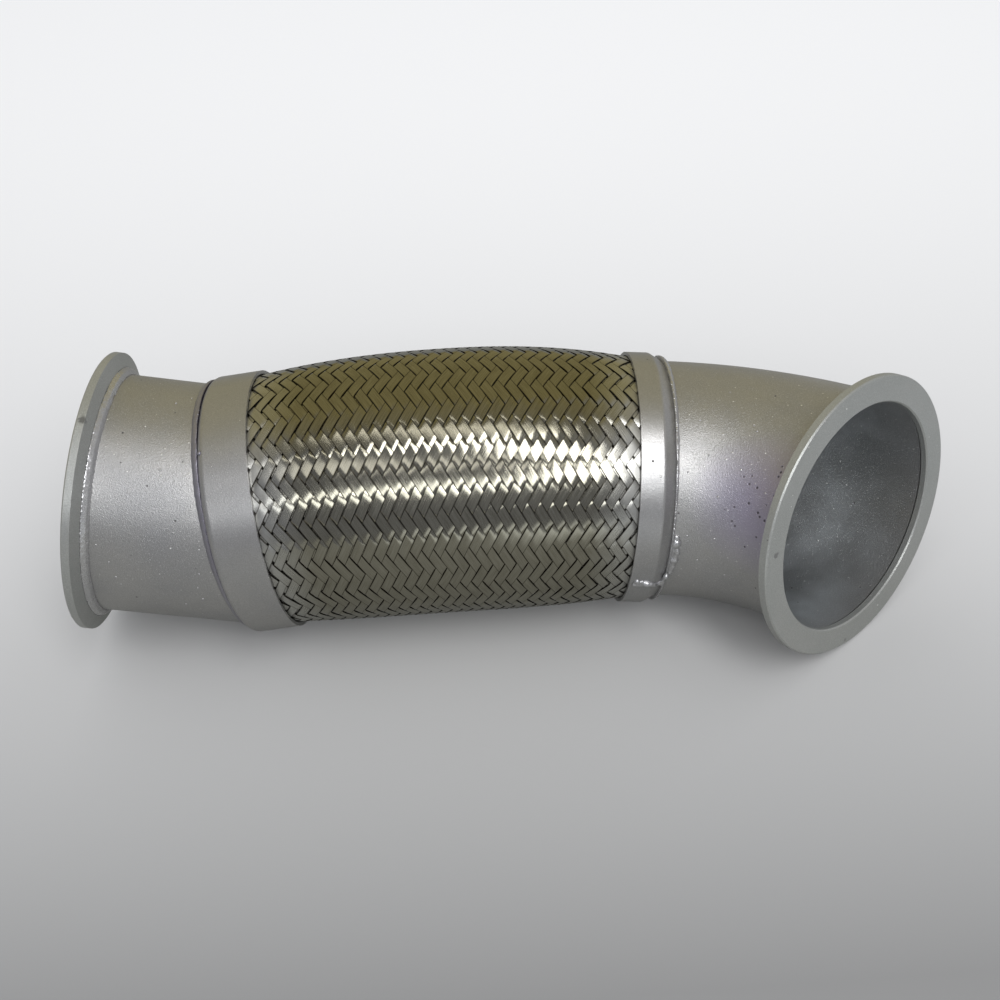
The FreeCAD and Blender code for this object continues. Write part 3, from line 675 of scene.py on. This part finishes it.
def wire_steel():
    material, tree, shader = new_material("wire_steel", Metallic=1.0)
    uv = tree.nodes.new("ShaderNodeUVMap")
    uv.uv_map = "strand"
    split = tree.nodes.new("ShaderNodeSeparateXYZ")
    tree.links.new(uv.outputs[0], split.inputs[0])
    along, across = split.outputs["X"], split.outputs["Y"]
    turns = maths(tree, "MULTIPLY", across, math.pi * WIRES_PER_STRAND)
    groove = maths(tree, "ABSOLUTE", maths(tree, "SINE", turns))
    from_middle = maths(tree, "ABSOLUTE", maths(tree, "SUBTRACT", maths(tree, "FRACT", across), 0.5))
    # painted shade: the strand's edges, where it meets its neighbours
    edge = ramp(tree, from_middle, 0.41, 0.49)
    settings = {"operation": "MULTIPLY"}
    stretched = add_node(
        tree, "ShaderNodeVectorMath", settings=settings, _0=uv.outputs[0], _1=STRAND_TO_STREAKS
    )
    streaks = add_node(tree, "ShaderNodeTexNoise", Vector=stretched, Scale=3.0, Detail=3.0, Roughness=0.7)
    patches = add_node(tree, "ShaderNodeTexNoise", Vector=uv.outputs[0], Scale=0.9, Detail=1.0)
    parted = ramp(tree, ramp(tree, patches, 0.46, 0.62), 0.0, 1.0, 0.25, 0.95)
    lines = maths(tree, "MULTIPLY", ramp(tree, groove, 0.0, 0.45, 1.0, 0.0), parted)
    relief = maths(tree, "MULTIPLY", groove, 0.12)
    relief = maths(tree, "ADD", relief, maths(tree, "MULTIPLY", streaks, 0.3))
    bump = add_node(tree, "ShaderNodeBump", Height=relief, Strength=0.3, Distance=0.12 * MM)
    from_sleeve_middle = maths(tree, "ABSOLUTE", maths(tree, "SUBTRACT", along, FLOATS_ALONG / 2))
    starts, ends = (FLOATS_ALONG / 2 - floats for floats in HANDLED_AND_SHEEN_FLOATS)
    # ends near the collars: rougher from hands and clamps, and painted whiter, a painted sheen
    handled_and_sheen = ramp(tree, from_sleeve_middle, starts, ends)
    colour = mix_colour(tree, ramp(tree, streaks, 0.35, 0.65), *WIRE_TONES)
    colour = mix_colour(tree, maths(tree, "MULTIPLY", handled_and_sheen, HANDLED_SHEEN_SHARE), colour, HANDLED_SHEEN_TONE)
    colour = mix_colour(tree, lines, colour, GROOVE_TONE)
    colour = mix_colour(tree, edge, colour, EDGE_SHADE_TONE)
    brushed = ramp(tree, streaks, 0.3, 0.7, 0.09, 0.18)
    rough = maths(tree, "ADD", brushed, maths(tree, "MULTIPLY", handled_and_sheen, 0.2))
    feed(tree, shader, Base_Color=colour, Roughness=rough, Normal=bump)
    return material


def sheet_steel(name, colour, roughness):
    material, tree, shader = new_material(name, Metallic=1.0)
    slow = place_group(tree, paint_grain, 1, Vector=object_place(tree))
    dull = tuple(value * 0.7 for value in colour)
    body = mix_colour(tree, ramp(tree, slow, 0.3, 0.7), (*colour, 1), (*dull, 1))
    feed(tree, shader, Base_Color=body, Roughness=ramp(tree, slow, 0.3, 0.7, roughness, roughness + 0.12))
    return material


STEELS = {
    "steel_braid": wire_steel(),
    "bellows_steel": sheet_steel("bellows_steel", (0.2, 0.19, 0.17), 0.4),
    "liner_steel": sheet_steel("liner_steel", (0.34, 0.34, 0.34), 0.42),
}
FINISHES = {**PAINTS, **STEELS}
print("finishes:", len(FINISHES))

# %% [markdown]
# Every piece that keeps its own shape gets its finish by the slot that the record names for it.

# %% Give the construction pieces their finishes
slot_of = {part["node"]: part["material_slot"] for part in frame["record"]["subparts"]}
for node_name, node_object in nodes.items():
    node_object.data.materials.clear()
    node_object.data.materials.append(FINISHES[slot_of[node_name]])
print("finished in place:", len(nodes))

# %% [markdown]
# The braid is a two-over-two weave of forty flat strands each way. It is easiest to think of it
# unrolled: u counts bands round the sleeve and v counts floats along it. One hand of strands
# keeps u - v constant, the other keeps u + v constant, and each rides over two of the others and
# then dives under two. A strand is a long flat grid, shaped by that rule and wrapped on the arch.

# %% Shape of one strand
STRANDS = 40
TUCKED_IN = 0.9
END_STRETCH = 0.06
STRAND_WIDTH = 5.1 * MM
END_NARROWING = 0.12
STRAND_THICKNESS = 0.42 * MM
WEAVE_HEIGHT = 0.45 * MM
STRAND_CROWN = 0.05 * MM
WAVE_SHARPNESS = 2.3
FLOAT_FLATNESS = 0.85
FLOAT_MEAN_CHORD = 0.0015
WANDER_BANDS = 0.05
WANDER_ROLL = 0.04 * MM
STEPS_PER_CROSSING = 5
STEPS_ACROSS = 4
BULGE_EXPONENT = 2.5
SKIN_DEPTH = 0.6 * MM


def length_along(v):
    """Distance from the sleeve's middle for a float number; floats are longer near the ends."""
    share = 2 * v / FLOATS_ALONG - 1
    return share * (1 + END_STRETCH * share**2) / (1 + END_STRETCH) * flex_length / 2


def strand_radius(along):
    """Radius of the weave's middle surface: barrel-shaped, clamped at both ends."""
    clamped = np.where(along < 0, inlet_cavity, outlet_cavity) - 0.3 * MM
    share = np.minimum(np.abs(along) / (flex_length / 2), 1) ** BULGE_EXPONENT
    return clamped + (braid_radius_middle - clamped) * (1 - share) - SKIN_DEPTH


def weave_wave(phase):
    """Height of a strand, from -1 under to 1 over, with flat floats and quick dives."""
    return np.tanh(WAVE_SHARPNESS * np.cos(phase)) / math.tanh(WAVE_SHARPNESS)


def strand_points(hand, index, wander, across, v):
    """Points of one strand; across runs from -1 to 1 and v along it, both arrays.

    A taut strand doesn't follow the round of the sleeve: each float is nearly a flat chord."""
    pitch_v = (length_along(v + 0.5) - length_along(v - 0.5))
    radius = strand_radius(length_along(v))
    pitch_u = 2 * math.pi * radius / STRANDS
    slant = np.arctan2(pitch_u, pitch_v)
    squeezed = 1 - END_NARROWING * np.clip(np.abs(2 * v / FLOATS_ALONG - 1), 0, 1) ** 6
    offset = across * squeezed * STRAND_WIDTH / 2 / (np.sin(slant) * pitch_v)
    own = index + wander[0] * np.sin(v * 0.7 + wander[1]) * WANDER_BANDS
    u = own + hand * (v + offset / 2)
    v_here = v - offset / 2
    crossing = hand * 2 * v + 2 * index - 0.5
    lift = weave_wave(crossing * math.pi / 2) * hand
    from_float_middle = (np.mod(crossing + 1, 2) - 1 + hand * offset) * math.pi / STRANDS
    chord = FLOAT_FLATNESS * radius * (from_float_middle**2 / 2 - FLOAT_MEAN_CHORD)
    roll = wander[2] * np.sin(v * 2.3 + wander[3]) * WANDER_ROLL * across
    height = lift * WEAVE_HEIGHT + chord - STRAND_CROWN * across**2 + roll
    along = length_along(v_here)
    return sleeve_points(along, u * 2 * math.pi / STRANDS, strand_radius(along) + height)


print(f"floats are {(length_along(1) - length_along(0)) / MM:.1f} mm apart at the ends of the braid")

# %% [markdown]
# One flat grid is the pattern for every strand. Each copy gets its own mesh, is bent into place,
# and a Solidify modifier gives it the thickness of its wires. Ten strands make one piece, which
# keeps every piece light. Seeded random numbers let each strand wander a little, as wire does.

# %% Weave the braid
STRANDS_PER_PIECE = 10
RANDOM_SEED = 7


def add_strand_pattern(steps_along):
    """Flat grid whose X runs along a strand and whose Y crosses it, both from -1 to 1."""
    deselect_all()
    bpy.ops.mesh.primitive_grid_add(
        x_subdivisions=steps_along, y_subdivisions=STEPS_ACROSS, size=2, calc_uvs=False
    )
    pattern = bpy.context.object
    pattern.name = "strand_pattern"
    return pattern


def bend_strand(pattern, hand, index, dice):
    """A copy of the pattern, bent to the path of one strand, with its own UV numbers."""
    strand = pattern.copy()
    strand.data = pattern.data.copy()
    bpy.context.collection.objects.link(strand)
    flat = np.array([vertex.co for vertex in strand.data.vertices])
    v = FLOATS_ALONG / 2 + flat[:, 0] * (FLOATS_ALONG / 2 + TUCKED_IN)
    wander = [dice.uniform(-1, 1), dice.uniform(0, 6), dice.uniform(-1, 1), dice.uniform(0, 6)]
    points = strand_points(hand, index, wander, flat[:, 1], v)
    strand.data.vertices.foreach_set("co", points.ravel())
    corners = np.array([corner.vertex_index for corner in strand.data.loops])
    numbers = np.column_stack([v, (flat[:, 1] + 1) / 2 + index])[corners]
    strand.data.uv_layers.new(name="strand").uv.foreach_set("vector", numbers.ravel())
    strand.data.update()
    return strand


def join_strands(strands, name):
    deselect_all()
    for strand in strands:
        strand.select_set(True)
    bpy.context.view_layer.objects.active = strands[0]
    bpy.ops.object.join()
    piece = bpy.context.object
    piece.name = name
    return piece


def apply_modifiers(piece):
    deselect_all()
    piece.select_set(True)
    bpy.context.view_layer.objects.active = piece
    for modifier in list(piece.modifiers):
        bpy.ops.object.modifier_apply(modifier=modifier.name)


def finish_piece(piece, slot, replaced=None):
    """Smooth shading, the slot's finish, and the calls that tie a piece to the frame."""
    deselect_all()
    piece.select_set(True)
    bpy.context.view_layer.objects.active = piece
    bpy.ops.object.shade_smooth_by_angle(angle=math.radians(40))
    piece.data.materials.clear()
    piece.data.materials.append(FINISHES[slot])
    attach(piece, "root")
    if replaced:
        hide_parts(replaced)


def weave_braid():
    dice = random.Random(RANDOM_SEED)
    crossings = 2 * (FLOATS_ALONG + 2 * TUCKED_IN)
    pattern = add_strand_pattern(int(crossings * STEPS_PER_CROSSING))
    for hand, hand_name in ((1, "right"), (-1, "left")):
        for first in range(0, STRANDS, STRANDS_PER_PIECE):
            strands = [
                bend_strand(pattern, hand, index, dice) for index in range(first, first + STRANDS_PER_PIECE)
            ]
            piece = join_strands(strands, f"braid_{hand_name}_{first // STRANDS_PER_PIECE + 1}")
            if hand < 0:
                piece.data.flip_normals()
            thicken = piece.modifiers.new("thicken", "SOLIDIFY")
            thicken.thickness = STRAND_THICKNESS
            thicken.offset = -1
            apply_modifiers(piece)
            finish_piece(piece, "steel_braid", "braid")
            print(piece.name, len(piece.data.polygons), "faces")
    bpy.data.objects.remove(pattern)


weave_braid()

# %% [markdown]
# A hand-made weld is never even. It could be swept along its own path, but a copy of the
# construction model's ring is already exactly where it belongs. The copy's loose triangles are
# merged first, so that modifiers can work on it. Lumps stand for places where the welder paused:
# flattened balls, half sunk in the metal, which a later remesh melts into the bead.

# %% Copies of rings, and lumps
MERGE_DISTANCE = 0.02 * MM
LUMP_SIZES = (0.8, 1.25)
LUMP_JITTER = 0.5


def copy_of_node(node, name):
    piece = nodes[node].copy()
    piece.data = nodes[node].data.copy()
    piece.name = name
    piece.parent = None
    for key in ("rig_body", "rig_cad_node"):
        del piece[key]
    bpy.context.collection.objects.link(piece)
    deselect_all()
    piece.select_set(True)
    bpy.context.view_layer.objects.active = piece
    bpy.ops.object.mode_set(mode="EDIT")
    bpy.ops.mesh.select_all(action="SELECT")
    bpy.ops.mesh.remove_doubles(threshold=MERGE_DISTANCE)
    bpy.ops.mesh.customdata_custom_splitnormals_clear()
    bpy.ops.object.mode_set(mode="OBJECT")
    return piece


def add_lump(place, normal, radius, height):
    """A flattened ball half sunk in the metal."""
    deselect_all()
    bpy.ops.mesh.primitive_ico_sphere_add(subdivisions=3, radius=radius)
    lump = bpy.context.object
    lump.scale = (1, 1, height / radius)
    lump.rotation_euler = normal.to_track_quat("Z", "Y").to_euler()
    lump.location = place
    bpy.ops.object.transform_apply(location=True, rotation=True, scale=True)
    return lump


def lumps_along(path, count, radius, height):
    """Overlapping lumps along a line of pixels, each a little different from the last."""
    dice = random.Random(RANDOM_SEED)
    lengths = [math.dist(start, end) for start, end in zip(path, path[1:])]
    lumps = []
    for place in range(count):
        left = place / (count - 1) * sum(lengths)
        leg = 0
        while leg < len(lengths) - 1 and left > lengths[leg]:
            left -= lengths[leg]
            leg += 1
        share = left / lengths[leg]
        ends = zip(path[leg], path[leg + 1])
        pixel = [
            start + (end - start) * share + dice.uniform(-LUMP_JITTER, LUMP_JITTER) for start, end in ends
        ]
        size = dice.uniform(*LUMP_SIZES)
        lumps.append((*pixel, radius * size, height * size))
    return lumps


print("lumps vary from", LUMP_SIZES[0], "to", LUMP_SIZES[1], "times their size")

# %% [markdown]
# A voxel remesh melts ring and lumps into one closed skin. Smoothing takes the steps out of it,
# and two displacements by cloud noise give it ripples and grit. A last small swell makes up for
# what the smoothing shrank. The seam on the collar is finer, so its voxels are smaller.

# %% Lay the welds
WELD_SWELL = 0.06 * MM
SMOOTH_ROUNDS = 3


def make_weld(node, ripple, ripple_size, lumps=(), voxel=0.45):
    """Lumps are (pixel x, pixel y, radius, height), the last two in millimetres."""
    bead = copy_of_node(node, f"{node}_bead")
    added = []
    for pixel_x, pixel_y, radius, height in lumps:
        place, normal = on_metal(pixel_x, pixel_y)
        added.append(add_lump(place, normal, radius * MM, height * MM))
    bead = join_strands([bead, *added], f"{node}_bead")
    melt = bead.modifiers.new("melt", "REMESH")
    melt.mode = "VOXEL"
    melt.voxel_size = voxel * MM
    soften = bead.modifiers.new("soften", "SMOOTH")
    soften.iterations = SMOOTH_ROUNDS
    for name, size, strength in (("ripple", ripple_size, ripple), ("grit", ripple_size / 4, ripple / 3)):
        texture = bpy.data.textures.new(f"{node}_{name}", "CLOUDS")
        texture.noise_scale = size * MM
        displace = bead.modifiers.new(name, "DISPLACE")
        displace.texture = texture
        displace.texture_coords = "LOCAL"
        displace.strength = strength * MM
        displace.mid_level = 0.5
    swell = bead.modifiers.new("swell", "DISPLACE")
    swell.strength = WELD_SWELL
    swell.mid_level = 0
    apply_modifiers(bead)
    finish_piece(bead, "painted_weld", node)
    if node in WELD_FINISHES:
        bead.data.materials[0] = WELD_FINISHES[node]
    print(bead.name, len(bead.data.polygons), "faces")
    return bead


make_weld("inlet_flange_weld", 0.4, 3)
make_weld("outlet_flange_weld", 0.4, 3)
NIBS = [(199, 453, 1.4, 0.8)]
make_weld("inlet_pipe_weld", 0.5, 9, NIBS)
DRIP_PATH = [(677, 538), (677, 552), (673, 565), (666, 577), (659, 583)]
DRIPS = lumps_along(DRIP_PATH, 22, 1.5, 1.3) + [(676, 543, 2.8, 2.3), (674, 560, 2.2, 1.9)]
make_weld("outlet_pipe_weld", 0.6, 6, DRIPS)
SEAM_PATH = [(637, 582), (645, 583), (656, 585)]
make_weld("outlet_collar_seam", 0.3, 4, lumps_along(SEAM_PATH, 12, 1.5, 1.2), voxel=0.35)

# %% [markdown]
# Welding throws off drops of metal that stick to the pipe as small hard beads. The larger ones
# are real geometry, because they catch the light and break the outline; the finer ones are dots
# in the paint. Each is a flattened ball, set on the metal by its place in the photograph.

# %% Spatter beads
BEAD_RADII = (0.35, 0.75)
BEAD_FLATNESS = 0.7
INLET_BEADS = [(116, 577), (198, 588), (203, 599), (186, 604), (199, 574)]
INLET_BEADS += [(213, 574), (109, 562), (173, 533), (121, 584), (176, 403)]
INLET_BEADS += [(192, 398), (150, 560), (96, 545), (160, 470), (186, 520)]
OUTLET_BEADS = [(688, 472), (754, 425), (757, 431), (716, 472), (718, 497)]
OUTLET_BEADS += [(714, 539), (738, 539), (687, 536), (761, 438), (700, 420), (730, 392)]
OUTLET_BEADS += [(688, 541), (709, 455), (741, 470), (697, 560), (724, 575)]


def add_spatter(name, pixels):
    dice = random.Random(RANDOM_SEED)
    beads = []
    for pixel in pixels:
        place, normal = on_metal(*pixel)
        radius = dice.uniform(*BEAD_RADII) * MM
        beads.append(add_lump(place, normal, radius, radius * BEAD_FLATNESS))
    piece = join_strands(beads, name)
    finish_piece(piece, "painted_weld")
    print(piece.name, len(piece.data.polygons), "faces")


add_spatter("inlet_pipe_spatter", INLET_BEADS)
add_spatter("outlet_elbow_spatter", OUTLET_BEADS)

# %% [markdown]
# The last cell compares the finished pipe with the construction model's box, so that nothing
# has grown or shrunk.

# %% Compare sizes
new_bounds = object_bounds()
for axis, letter in enumerate("XYZ"):
    grown = [(new[axis] - old[axis]) / MM for new, old in zip(new_bounds, cad_bounds)]
    print(letter, [round(value, 2) for value in grown], "mm")
